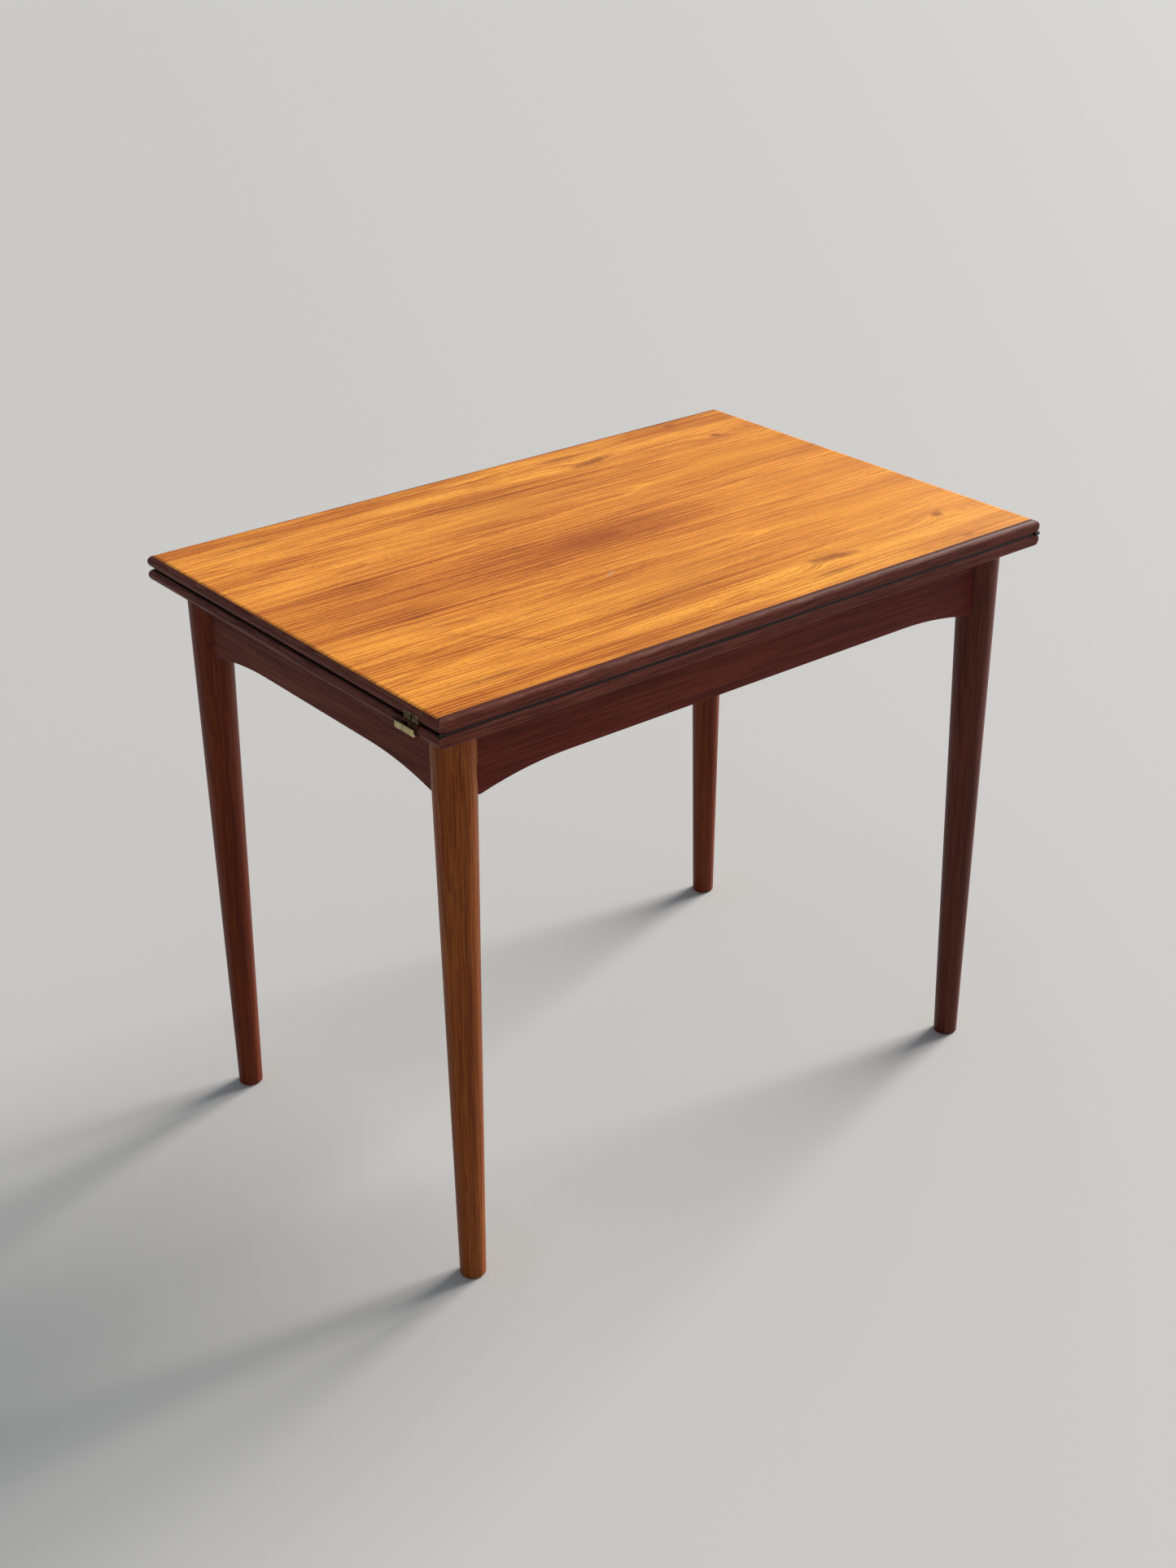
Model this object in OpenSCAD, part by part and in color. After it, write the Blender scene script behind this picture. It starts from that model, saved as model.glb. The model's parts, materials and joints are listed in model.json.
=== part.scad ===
// Flip-top table. Two equal veneered leaves lie on each other like a closed book on a frame of four
// round tapered legs and four arched aprons. The pair slides back along two guide rails until the
// fold line stands over the middle of the frame, and the upper leaf then turns over on its hinges.
// Origin: middle of the closed table on the floor. +Z up, X along the fold, Y across it, and the
// fold edge is the long edge at -Y.

/* [Table] */
// Length of the leaves, along the fold
top_l = 885; // [700:5:1200]
// Width of the closed top, which is half of the opened width
top_w = 588; // [480:2:800]
// Height of the closed table
table_h = 730; // [600:5:800]

/* [Leaves] */
// Thickness of one leaf
leaf_t = 16; // [15:0.5:22]
// Gap between the two leaves, flat when closed and edge to edge when opened
leaf_gap = 0.4; // [0.3:0.1:1]
// Thickness of the face veneers
veneer_t = 1; // [0.6:0.1:1.5]
// Width of the solid lippings around each leaf
lipping_w = 12; // [10:1:25]
// Radius on the upper leaf's outer arris along the fold edge
fold_arris_r = 6; // [2:0.5:7]
// Radius on the lower leaf's outer arris along the fold edge
under_arris_r = 2.5; // [1:0.5:7]

/* [Legs] */
// Diameter of a leg at its top
leg_top_d = 50; // [44:1:60]
// Diameter of a leg at the floor
leg_foot_d = 30; // [24:1:40]
// Bevel around the foot
foot_bevel = 1.5; // [0.5:0.5:3]
// Distance of the leg centres from the short edges of the top
leg_in_x = 50; // [40:1:80]
// Distance of the leg centres from the long edges of the top
leg_in_y = 48; // [40:1:80]

/* [Aprons] */
// Thickness of the apron boards
apron_t = 20; // [18:1:26]
// Height of an apron in the middle of its arch
apron_mid_h = 70; // [66:1:90]
// Height of an apron where it meets a leg
apron_end_h = 85; // [82:1:110]
// Length of the curve that leads from the leg into the flat of the arch
arch_run = 115; // [80:5:140]
// How far the apron faces lie behind the outside of the legs
apron_setback = 13; // [8:1:16]
// Gap between the frame and the leaf that slides over it
slide_gap = 0.4; // [0.3:0.1:1]
// Thickness of the tenons
tenon_t = 8; // [6:1:10]
// Height of the tenons
tenon_h = 44; // [30:1:48]

/* [Slide] */
// Distance of the guide rails' middles from the middle of the table
rail_x = 250; // [150:5:270]
// Width of a guide rail
rail_w = 30; // [26:1:36]
// Height of a guide rail
rail_h = 34; // [30:1:44]
// Height of the groove in a guide rail
groove_h = 9; // [8:0.5:11]
// Depth of the groove in a guide rail
groove_d = 10; // [8:0.5:12]
// Thickness of the rail's lip over the groove
groove_lip = 8; // [6:0.5:10]
// Depth of the housings in the long aprons that hold the rails' ends
housing_d = 6; // [4:0.5:8]
// Width of a runner without its tongue
runner_w = 16; // [14:1:22]
// Height of a runner
runner_h = 28; // [25:1:34]
// Gap all around a runner in its rail
runner_gap = 0.4; // [0.3:0.1:1]
// Gap between a runner's end and the apron that stops it
stop_gap = 3; // [1:0.5:10]

/* [Corner blocks] */
// Distance from the inner corner of the frame to the near end of a block
block_near = 45; // [40:1:50]
// Distance from the inner corner of the frame to the far end of a block
block_far = 75; // [68:1:85]
// Height of a block
block_h = 50; // [36:1:54]
// Diameter of the bolt through a block into its leg
bolt_d = 6; // [5:0.5:7]
// How deep a bolt goes into its leg
bolt_grip = 16; // [12:1:17]

/* [Hinges] */
// Width of a hinge strap
strap_w = 14; // [12:1:20]
// Length of a hinge strap
strap_l = 62; // [50:1:80]
// Thickness of the strap metal
strap_t = 2.5; // [2:0.1:3]
// Distance of a strap from the short edge of the leaf
strap_in = 9; // [8.8:0.1:12]
// Distance of a strap from the fold edge of the leaf
strap_back = 3; // [2.9:0.1:6]
// Outer radius of the hinge ears
ear_r = 2.2; // [2:0.1:2.6]
// Width of one hinge ear
ear_w = 3.4; // [3:0.1:3.5]
// Distance of the outer ear from the short edge of the leaf
ear_in = 1.2; // [1:0.1:1.5]
// Diameter of the hinge pin
pin_d = 2; // [1.8:0.1:2.4]
// Radial clearance of the pin in the ear that turns
pin_clear = 0.05; // [0.02:0.01:0.1]

/* [Catches] */
// Distance of the catch plate from the fold edge
plate_in = 36; // [30:1:60]
// Length of the catch plate
plate_l = 44; // [40:1:50]
// Height of the catch plate
plate_h = 12.5; // [12:0.1:13.5]
// Thickness of the catch and keeper plates
plate_t = 3; // [2.5:0.1:3.5]
// Length of the thumb bar
bar_l = 34; // [30:1:34]
// Height of the thumb bar
bar_h = 8; // [7:0.1:8.5]
// Thickness of the thumb bar
bar_t = 2.3; // [1.8:0.1:3]
// Gap between the thumb bar and the plate behind it
bar_gap = 0.3; // [0.3:0.1:0.5]
// Travel of the catch from open to shut
catch_travel = 6; // [4:0.5:6.5]
// Length of the keeper plate
keeper_l = 25; // [22:1:30]
// Height of the keeper plate
keeper_h = 8.8; // [8:0.1:9.5]
// Width of the bolt's tongue
tongue_w = 7; // [6:0.5:8]

/* [Hidden] */
$fn = 64;

teak_veneer = "#D79A4E";
teak_edge = "#6B4330";
teak_frame = "#7A4527";
beech = "#C9A26B";
brass = "#9C8B55";
steel = "#8F9296";

// Heights: leaf faces that meet, underside of the lower leaf, top of the frame. The fold axis lies
// in the middle of the gap between the leaves.
upper_z = table_h - leaf_t;
lower_top_z = upper_z - leaf_gap;
under_z = lower_top_z - leaf_t;
frame_z = under_z - slide_gap;
axis_y = -top_w / 2 - leaf_gap / 2;
travel = top_w / 2 + leaf_gap / 2;
nose_r = leaf_t / 2;

// How far a cut runs past the face that it opens.
cut_over = 1;

// Plan of the frame: leg centres, then the apron faces and middle measured from them. The two tenons
// in a leg stop short of each other.
tenon_clear = 1;
leg_x = top_l / 2 - leg_in_x;
leg_y = top_w / 2 - leg_in_y;
face_off = leg_top_d / 2 - apron_setback;
back_off = apron_t - face_off;
mid_off = face_off - apron_t / 2;
inner_y = leg_y - back_off;
tenon_z = frame_z - (apron_mid_h - tenon_h) / 2 - tenon_h;
tenon_tip = tenon_t / 2 - mid_off + tenon_clear;

// Slide: groove and runner places, the runner's length is what the travel leaves.
groove_z = frame_z - groove_lip - groove_h;
runner_l = 2 * inner_y - travel - 2 * stop_gap;
runner_y = -inner_y + stop_gap;
rail_face_x = rail_x - rail_w / 2;
runner_head_r = 4;
runner_screw_r = 2;
runner_screw_grip = 9;
runner_screw_in = 20;

// Corner blocks and bolts, along the diagonal of each corner.
block_z = frame_z - (apron_mid_h - block_h) / 2 - block_h;
diag = sqrt(2);
bolt_z = block_z + block_h / 2;
bolt_head_r = 5.5;
bolt_head_t = 4;
washer_r = 8;
washer_t = 1.5;
block_face = block_far / diag + back_off * diag;
bolt_tip = leg_top_d / 2 - bolt_grip;

// Hinge screws, and the two ears side by side on one pin.
strap_screw_r = 1.75;
strap_head_r = 3.2;
strap_head_h = 1.4;
strap_screw_l = 10;
strap_screw_in = 13;
strap_tail = 7;
ear_room = 0.3;
ear_step = ear_w + ear_room;
arm_t = ear_r - leaf_gap / 2;

// Catch: heights below and above the meeting faces, bolt behind the plate.
plate_drop = 0.6;
bar_y = plate_in + 4.5;
bar_drop = 6.9;
bolt_w = 18.5;
bolt_t = 2;
bolt_h = 7;
bolt_gap = 0.3;
bolt_y = plate_in + 7.5;
tongue_drop = 0.8;
tongue_room = 1;
shank_w = 6;
shank_h = 3;
shank_y = bolt_y + bolt_w - shank_w - 2;
shank_drop = 9.5;
pocket_t = bolt_t + 2 * bolt_gap;
bolt_drop = 13;
keeper_y = bolt_y + tongue_w / 2 - keeper_l / 2;
keeper_rise = 0.2;
edge_screw_r = 1;
edge_screw_l = 12;
edge_head_r = 1.9;
edge_head_h = 1;
plate_screw_in = 2.3;
keeper_screw_in = 3;

// Places a corner's parts, with +X and +Y of the child pointing out of the table.
module at_corner(sx, sy) {
    translate([sx * leg_x, sy * leg_y, 0])
        mirror([sx < 0 ? 1 : 0, 0, 0])
            mirror([0, sy < 0 ? 1 : 0, 0])
                children();
}

// Places a left side's parts on the side asked for: -1 left, 1 right.
module on_side(s) {
    mirror([s > 0 ? 1 : 0, 0, 0])
        children();
}

module both_sides() {
    for (s = [-1, 1])
        on_side(s)
            children();
}

// Countersunk screw with its head's face at z = 0 and its shank going down.
module countersunk(head_r, head_h, r, l) {
    rotate_extrude()
        polygon([[0, 0], [head_r, 0], [r, -head_h], [r, -l + r], [0, -l]]);
}

// ---- frame ----

module tenon_long() {
    translate([-leg_top_d, mid_off - tenon_t / 2, tenon_z])
        cube([leg_top_d - tenon_tip, tenon_t, tenon_h]);
}

module tenon_short() {
    translate([mid_off - tenon_t / 2, -leg_top_d, tenon_z])
        cube([tenon_t, leg_top_d - tenon_tip, tenon_h]);
}

function leg_r(z) = leg_foot_d / 2 + z * (leg_top_d - leg_foot_d) / 2 / frame_z;

// Tapered round leg, up to the height given.
module leg_turning(top_z) {
    rotate_extrude()
        polygon([[0, 0], [leg_foot_d / 2 - foot_bevel, 0], [leg_r(foot_bevel), foot_bevel],
            [leg_r(top_z), top_z], [0, top_z]]);
}

module along_diagonal(d) {
    translate([-d / diag, -d / diag, bolt_z])
        rotate([0, 0, 45])
            rotate([0, 90, 0])
                children();
}

module leg(sx, sy) {
    color(teak_frame)
        at_corner(sx, sy)
            difference() {
                leg_turning(frame_z);
                tenon_long();
                tenon_short();
                along_diagonal(leg_top_d)
                    cylinder(r = bolt_d / 2, h = leg_top_d - bolt_tip);
            }
}

// Outline of an apron seen from its face: straight top, arched lower edge.
module apron_outline(half_len, face_at) {
    rise = apron_end_h - apron_mid_h;
    arc_r = (arch_run * arch_run + rise * rise) / (2 * rise);
    arc_x = face_at - arch_run;
    difference() {
        translate([-half_len, -apron_end_h])
            square([2 * half_len, apron_end_h]);
        translate([-arc_x, -apron_mid_h - 2 * arc_r])
            square([2 * arc_x, 2 * arc_r]);
        for (s = [-1, 1])
            translate([s * arc_x, -apron_mid_h - arc_r])
                circle(r = arc_r, $fn = 180);
    }
}

// Long apron between two legs; it also holds the housed ends of the guide rails.
module apron_long(sy) {
    color(teak_frame) {
        difference() {
            translate([0, sy * (leg_y + mid_off) + apron_t / 2, frame_z])
                rotate([90, 0, 0])
                    linear_extrude(height = apron_t)
                        apron_outline(leg_x, leg_x - leg_top_d / 2);
            for (sx = [-1, 1])
                at_corner(sx, sy)
                    leg_turning(frame_z + cut_over);
            for (sx = [-1, 1])
                guide_bar(sx, frame_z + cut_over);
        }
        for (sx = [-1, 1])
            at_corner(sx, sy)
                intersection() {
                    tenon_long();
                    translate([-leg_top_d / 2, -leg_top_d, 0])
                        cube([leg_top_d, 2 * leg_top_d, frame_z]);
                }
    }
}

module apron_short(sx) {
    color(teak_frame) {
        difference() {
            translate([sx * (leg_x + mid_off) - apron_t / 2, 0, frame_z])
                rotate([90, 0, 90])
                    linear_extrude(height = apron_t)
                        apron_outline(leg_y, leg_y - leg_top_d / 2);
            for (sy = [-1, 1])
                at_corner(sx, sy)
                    leg_turning(frame_z + cut_over);
        }
        for (sy = [-1, 1])
            at_corner(sx, sy)
                intersection() {
                    tenon_short();
                    translate([-leg_top_d, -leg_top_d / 2, 0])
                        cube([2 * leg_top_d, leg_top_d, frame_z]);
                }
    }
}

module corner_block(sx, sy) {
    color(beech)
        at_corner(sx, sy)
            difference() {
                translate([-back_off, -back_off, block_z])
                    linear_extrude(height = block_h)
                        polygon([[-block_near, 0], [-block_far, 0],
                            [0, -block_far], [0, -block_near]]);
                along_diagonal(block_face + cut_over)
                    cylinder(r = bolt_d / 2, h = block_far);
            }
}

module leg_bolts() {
    color(steel)
        for (sx = [-1, 1], sy = [-1, 1])
            at_corner(sx, sy) {
                along_diagonal(block_face + washer_t)
                    cylinder(r = bolt_d / 2, h = block_face + washer_t - bolt_tip);
                along_diagonal(block_face + washer_t + bolt_head_t)
                    cylinder(r = bolt_head_r, h = bolt_head_t, $fn = 6);
            }
}

module leg_bolt_washers() {
    color(steel)
        for (sx = [-1, 1], sy = [-1, 1])
            at_corner(sx, sy)
                along_diagonal(block_face + washer_t)
                    difference() {
                        cylinder(r = washer_r, h = washer_t);
                        translate([0, 0, -cut_over])
                            cylinder(r = bolt_d / 2, h = washer_t + 2 * cut_over);
                    }
}

// Outside shape of a guide rail up to the height given, with its ends in the aprons' housings.
module guide_bar(s, top_z) {
    translate([s * rail_x - rail_w / 2, -inner_y - housing_d, frame_z - rail_h])
        cube([rail_w, 2 * (inner_y + housing_d), top_z - frame_z + rail_h]);
}

module guide_rail(s) {
    color(beech)
        difference() {
            guide_bar(s, frame_z);
            on_side(s)
                translate([-rail_face_x - groove_d, -inner_y, groove_z])
                    cube([groove_d + cut_over, 2 * inner_y, groove_h]);
        }
}

// ---- leaves ----
// Both leaves are drawn with their meeting face at z = 0 and their outer face at z = leaf_t.

module place_upper() {
    translate([0, 0, upper_z])
        children();
}

module place_lower() {
    translate([0, 0, lower_top_z])
        mirror([0, 0, 1])
            children();
}

// Section across the short edges: a full round nose at both ends.
module section_short() {
    translate([-top_l / 2 + nose_r, 0])
        square([top_l - leaf_t, leaf_t]);
    for (s = [-1, 1])
        translate([s * (top_l / 2 - nose_r), nose_r])
            circle(r = nose_r);
}

// Section across the long edges: square at the fold with a rounded outer arris, round at the back.
module section_long(arris_r) {
    difference() {
        translate([-top_w / 2, 0])
            square([top_w - nose_r, leaf_t]);
        translate([-top_w / 2 - cut_over, leaf_t - arris_r])
            square([arris_r + cut_over, arris_r + cut_over]);
    }
    translate([-top_w / 2 + arris_r, leaf_t - arris_r])
        circle(r = arris_r);
    translate([top_w / 2 - nose_r, nose_r])
        circle(r = nose_r);
}

module leaf_blank(arris_r) {
    intersection() {
        translate([0, top_w / 2, 0])
            rotate([90, 0, 0])
                linear_extrude(height = top_w)
                    section_short();
        translate([-top_l / 2, 0, 0])
            rotate([90, 0, 90])
                linear_extrude(height = top_l)
                    section_long(arris_r);
    }
}

module slab(from, to) {
    translate([-top_l, -top_w, from])
        cube([2 * top_l, 2 * top_w, to - from]);
}

// Plan of one lipping with mitred ends. side: "fold", "back", "left" or "right".
module lipping_plan(side) {
    hl = top_l / 2;
    hw = top_w / 2;
    il = hl - lipping_w;
    iw = hw - lipping_w;
    if (side == "fold")
        polygon([[-hl, -hw], [hl, -hw], [il, -iw], [-il, -iw]]);
    if (side == "back")
        polygon([[-hl, hw], [-il, iw], [il, iw], [hl, hw]]);
    if (side == "left")
        polygon([[-hl, -hw], [-il, -iw], [-il, iw], [-hl, hw]]);
    if (side == "right")
        polygon([[hl, -hw], [hl, hw], [il, iw], [il, -iw]]);
}

module lipping_blank(side, arris_r) {
    intersection() {
        leaf_blank(arris_r);
        translate([0, 0, veneer_t])
            linear_extrude(height = leaf_t - 2 * veneer_t)
                lipping_plan(side);
    }
}

module core_blank() {
    translate([-top_l / 2 + lipping_w, -top_w / 2 + lipping_w, veneer_t])
        cube([top_l - 2 * lipping_w, top_w - 2 * lipping_w, leaf_t - 2 * veneer_t]);
}

// Veneer on the outer face.
module outer_veneer(arris_r) {
    intersection() {
        leaf_blank(arris_r);
        slab(leaf_t - veneer_t, leaf_t + cut_over);
    }
}

// Veneer on the meeting face.
module meeting_veneer(arris_r) {
    intersection() {
        leaf_blank(arris_r);
        slab(-cut_over, veneer_t);
    }
}

// ---- hinges, drawn on the left side with the leaf's meeting face at z = 0, leaf above ----
// ear_at: 0 for the outer ear of the lower strap, 1 for the inner ear of the upper strap.

module fold_rod(r, from, to) {
    translate([-top_l / 2 + from, axis_y, -leaf_gap / 2])
        rotate([0, 90, 0])
            cylinder(r = r, h = to - from);
}

// The strap is let into the meeting face; a thin arm carries the ear out past its short edge.
module strap_body(ear_at) {
    own = ear_in + ear_at * ear_step;
    arm_l = 4 * ear_r;
    translate([-top_l / 2 + strap_in, -top_w / 2 + strap_back, 0])
        cube([strap_w, strap_l - strap_back, strap_t]);
    translate([-top_l / 2 + own, -top_w / 2 + strap_back, 0])
        cube([strap_in + 1 - own, arm_l - strap_back, arm_t]);
    translate([-top_l / 2 + own, -top_w / 2, 0])
        cube([ear_w, arm_l, arm_t]);
    fold_rod(ear_r, own, own + ear_w);
}

module strap(ear_at) {
    own = ear_in + ear_at * ear_step;
    difference() {
        strap_body(ear_at);
        fold_rod(pin_d / 2 + ear_at * pin_clear, own - cut_over, own + ear_w + cut_over);
        strap_screws();
    }
}

module hinge_lower(s) {
    color(brass)
        place_lower()
            on_side(s)
                strap(0);
}

module hinge_upper(s) {
    color(brass)
        place_upper()
            on_side(s)
                strap(1);
}

module hinge_pin(s) {
    color(steel)
        place_lower()
            on_side(s)
                fold_rod(pin_d / 2, ear_in, ear_in + ear_step + ear_w);
}

module hinge_screws_lower() {
    color(brass)
        place_lower()
            both_sides()
                strap_screws();
}

module hinge_screws_upper() {
    color(brass)
        place_upper()
            both_sides()
                strap_screws();
}

module strap_screws() {
    for (k = [0:2])
        translate([-top_l / 2 + strap_in + strap_w / 2,
            -top_w / 2 + strap_screw_in + k * (strap_l - strap_screw_in - strap_tail) / 2, 0])
            mirror([0, 0, 1])
                countersunk(strap_head_r, strap_head_h, strap_screw_r, strap_screw_l);
}

// Everything that a leaf is cut out for at its hinges.
module hinge_cuts(ear_at) {
    both_sides() {
        strap_body(ear_at);
        strap_screws();
        fold_rod(ear_r + ear_room, -cut_over, ear_in + ear_step + ear_w + ear_room);
    }
}

// ---- catches, drawn on the left side with the leaf's meeting face at z = 0, leaf above ----

module edge_screw(y, z) {
    translate([-top_l / 2, -top_w / 2 + y, z])
        rotate([0, -90, 0])
            countersunk(edge_head_r, edge_head_h, edge_screw_r, edge_screw_l);
}

module plate_screws() {
    for (y = [plate_in + plate_screw_in, plate_in + plate_l - plate_screw_in])
        edge_screw(y, plate_drop + plate_h / 2);
}

module keeper_screw_pair() {
    for (y = [keeper_y + keeper_screw_in, keeper_y + keeper_l - keeper_screw_in])
        edge_screw(y, keeper_rise + keeper_h / 2);
}

module plate_blank() {
    translate([-top_l / 2, -top_w / 2 + plate_in, plate_drop])
        cube([plate_t, plate_l, plate_h]);
}

module keeper_blank() {
    translate([-top_l / 2, -top_w / 2 + keeper_y, keeper_rise])
        cube([plate_t, keeper_l, keeper_h]);
}

module bolt_pocket() {
    translate([-top_l / 2 + plate_t, -top_w / 2 + bolt_y - bolt_gap, -cut_over])
        cube([pocket_t, bolt_w + 2 * bolt_gap, bolt_drop + bolt_gap + cut_over]);
}

module tongue_pocket() {
    translate([-top_l / 2 + plate_t, -top_w / 2 + bolt_y - bolt_gap, -cut_over])
        cube([pocket_t, tongue_w + 2 * bolt_gap, catch_travel + cut_over + tongue_room]);
}

module catch_cuts() {
    both_sides() {
        plate_blank();
        bolt_pocket();
        plate_screws();
    }
}

module keeper_cuts() {
    both_sides() {
        keeper_blank();
        tongue_pocket();
        keeper_screw_pair();
    }
}

// The plate has a slot for the shank's travel.
module catch_plate(s) {
    color(brass)
        place_lower()
            on_side(s)
                difference() {
                    plate_blank();
                    plate_screws();
                    translate([-top_l / 2 - cut_over, -top_w / 2 + shank_y - bolt_gap,
                        shank_drop - catch_travel - bolt_gap])
                        cube([plate_t + 2 * cut_over, shank_w + 2 * bolt_gap,
                            catch_travel + shank_h + 2 * bolt_gap]);
                }
}

module catch_plate_screws() {
    color(brass)
        place_lower()
            both_sides()
                plate_screws();
}

module catch_bar(s) {
    color(brass)
        place_lower()
            on_side(s)
                translate([-top_l / 2 - bar_gap, -top_w / 2 + bar_y, bar_drop])
                    rotate([0, -90, 0])
                        linear_extrude(height = bar_t)
                            bar_outline();
}

// The thumb bar has its lower back corner rounded off.
module bar_outline() {
    corner_r = 2.5;
    difference() {
        square([bar_h, bar_l]);
        translate([bar_h - corner_r, bar_l - corner_r])
            square([corner_r + cut_over, corner_r + cut_over]);
    }
    translate([bar_h - corner_r, bar_l - corner_r])
        circle(r = corner_r);
}

// Bolt behind the plate: flat body, tongue towards the other leaf, shank out to the bar.
module catch_bolt(s) {
    x0 = -top_l / 2 + plate_t + bolt_gap;
    y0 = -top_w / 2 + bolt_y;
    color(steel)
        place_lower()
            on_side(s) {
                translate([x0, y0, bolt_drop - bolt_h])
                    cube([bolt_t, bolt_w, bolt_h]);
                translate([x0, y0, tongue_drop])
                    cube([bolt_t, tongue_w, bolt_drop - tongue_drop]);
                translate([-top_l / 2 - bar_gap, -top_w / 2 + shank_y, shank_drop])
                    cube([plate_t + bar_gap + bolt_gap + bolt_t, shank_w, shank_h]);
            }
}

// The keeper has a keyhole, through which the shut tongue shows.
module keeper_plate(s) {
    hole_r = 1.6;
    hole_z = 3.4;
    slot_w = 1.8;
    slot_top = 7;
    hole_y = bolt_y + tongue_w / 2;
    color(brass)
        place_upper()
            on_side(s)
                difference() {
                    keeper_blank();
                    keeper_screw_pair();
                    translate([-top_l / 2 - cut_over, -top_w / 2 + hole_y, hole_z])
                        rotate([0, 90, 0])
                            cylinder(r = hole_r, h = plate_t + 2 * cut_over);
                    translate([-top_l / 2 - cut_over, -top_w / 2 + hole_y - slot_w / 2, hole_z])
                        cube([plate_t + 2 * cut_over, slot_w, slot_top - hole_z]);
                }
}

module keeper_screws() {
    color(brass)
        place_upper()
            both_sides()
                keeper_screw_pair();
}

// ---- runners under the lower leaf, in table coordinates ----

module runner_screw_set(s) {
    for (k = [-1, 0, 1])
        translate([s * (rail_face_x - runner_gap - runner_w / 2),
            runner_y + runner_l / 2 + k * (runner_l / 2 - runner_screw_in), under_z - runner_h])
            mirror([0, 0, 1])
                countersunk(runner_head_r, runner_head_r - runner_screw_r, runner_screw_r,
                    runner_h + runner_screw_grip);
}

module runner_screws() {
    color(steel)
        for (s = [-1, 1])
            runner_screw_set(s);
}

module runner(s) {
    stem_x = s * (rail_face_x - runner_gap - runner_w / 2) - runner_w / 2;
    tongue_x = s * (rail_face_x - runner_gap + groove_d / 2) - groove_d / 2;
    color(beech)
        difference() {
            union() {
                translate([stem_x, runner_y, under_z - runner_h])
                    cube([runner_w, runner_l, runner_h]);
                translate([tongue_x, runner_y, groove_z + runner_gap])
                    cube([groove_d, runner_l, groove_h - 2 * runner_gap]);
            }
            runner_screw_set(s);
        }
}

// ---- leaf pieces ----

module lower_cuts() {
    hinge_cuts(0);
    catch_cuts();
}

module upper_cuts() {
    hinge_cuts(1);
    keeper_cuts();
}

module lower_core() {
    color(beech)
        difference() {
            place_lower()
                difference() {
                    core_blank();
                    lower_cuts();
                }
            for (s = [-1, 1])
                runner_screw_set(s);
        }
}

module lower_face_veneer() {
    color(teak_veneer)
        place_lower()
            difference() {
                meeting_veneer(under_arris_r);
                lower_cuts();
            }
}

module lower_back_veneer() {
    color(teak_edge)
        difference() {
            place_lower()
                outer_veneer(under_arris_r);
            for (s = [-1, 1])
                runner_screw_set(s);
        }
}

module lower_lipping(side) {
    color(teak_edge)
        place_lower()
            difference() {
                lipping_blank(side, under_arris_r);
                lower_cuts();
            }
}

module upper_core() {
    color(beech)
        place_upper()
            difference() {
                core_blank();
                upper_cuts();
            }
}

module upper_face_veneer() {
    color(teak_veneer)
        place_upper()
            difference() {
                meeting_veneer(fold_arris_r);
                upper_cuts();
            }
}

module upper_back_veneer() {
    color(teak_veneer)
        place_upper()
            outer_veneer(fold_arris_r);
}

module upper_lipping(side) {
    color(teak_edge)
        place_upper()
            difference() {
                lipping_blank(side, fold_arris_r);
                upper_cuts();
            }
}

leg(-1, -1);  // leg_front_left
leg(1, -1);  // leg_front_right
leg(-1, 1);  // leg_back_left
leg(1, 1);  // leg_back_right
apron_long(-1);  // apron_front
apron_long(1);  // apron_back
apron_short(-1);  // apron_left
apron_short(1);  // apron_right
corner_block(-1, -1);  // corner_block_front_left
corner_block(1, -1);  // corner_block_front_right
corner_block(-1, 1);  // corner_block_back_left
corner_block(1, 1);  // corner_block_back_right
leg_bolts();
leg_bolt_washers();
guide_rail(-1);  // guide_rail_left
guide_rail(1);  // guide_rail_right
lower_core();
lower_face_veneer();
lower_back_veneer();
lower_lipping("fold");  // lower_lipping_fold
lower_lipping("back");  // lower_lipping_back
lower_lipping("left");  // lower_lipping_left
lower_lipping("right");  // lower_lipping_right
runner(-1);  // runner_left
runner(1);  // runner_right
runner_screws();
upper_core();
upper_face_veneer();
upper_back_veneer();
upper_lipping("fold");  // upper_lipping_fold
upper_lipping("back");  // upper_lipping_back
upper_lipping("left");  // upper_lipping_left
upper_lipping("right");  // upper_lipping_right
hinge_lower(-1);  // hinge_lower_left
hinge_lower(1);  // hinge_lower_right
hinge_pin(-1);  // hinge_pin_left
hinge_pin(1);  // hinge_pin_right
hinge_upper(-1);  // hinge_upper_left
hinge_upper(1);  // hinge_upper_right
hinge_screws_lower();
hinge_screws_upper();
catch_plate(-1);  // catch_plate_left
catch_plate(1);  // catch_plate_right
catch_plate_screws();
catch_bar(-1);  // catch_bar_left
catch_bar(1);  // catch_bar_right
catch_bolt(-1);  // catch_bolt_left
catch_bolt(1);  // catch_bolt_right
keeper_plate(-1);  // keeper_plate_left
keeper_plate(1);  // keeper_plate_right
keeper_screws();
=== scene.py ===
import json
import math

import bmesh
import bpy
from mathutils import Matrix, Vector


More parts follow.
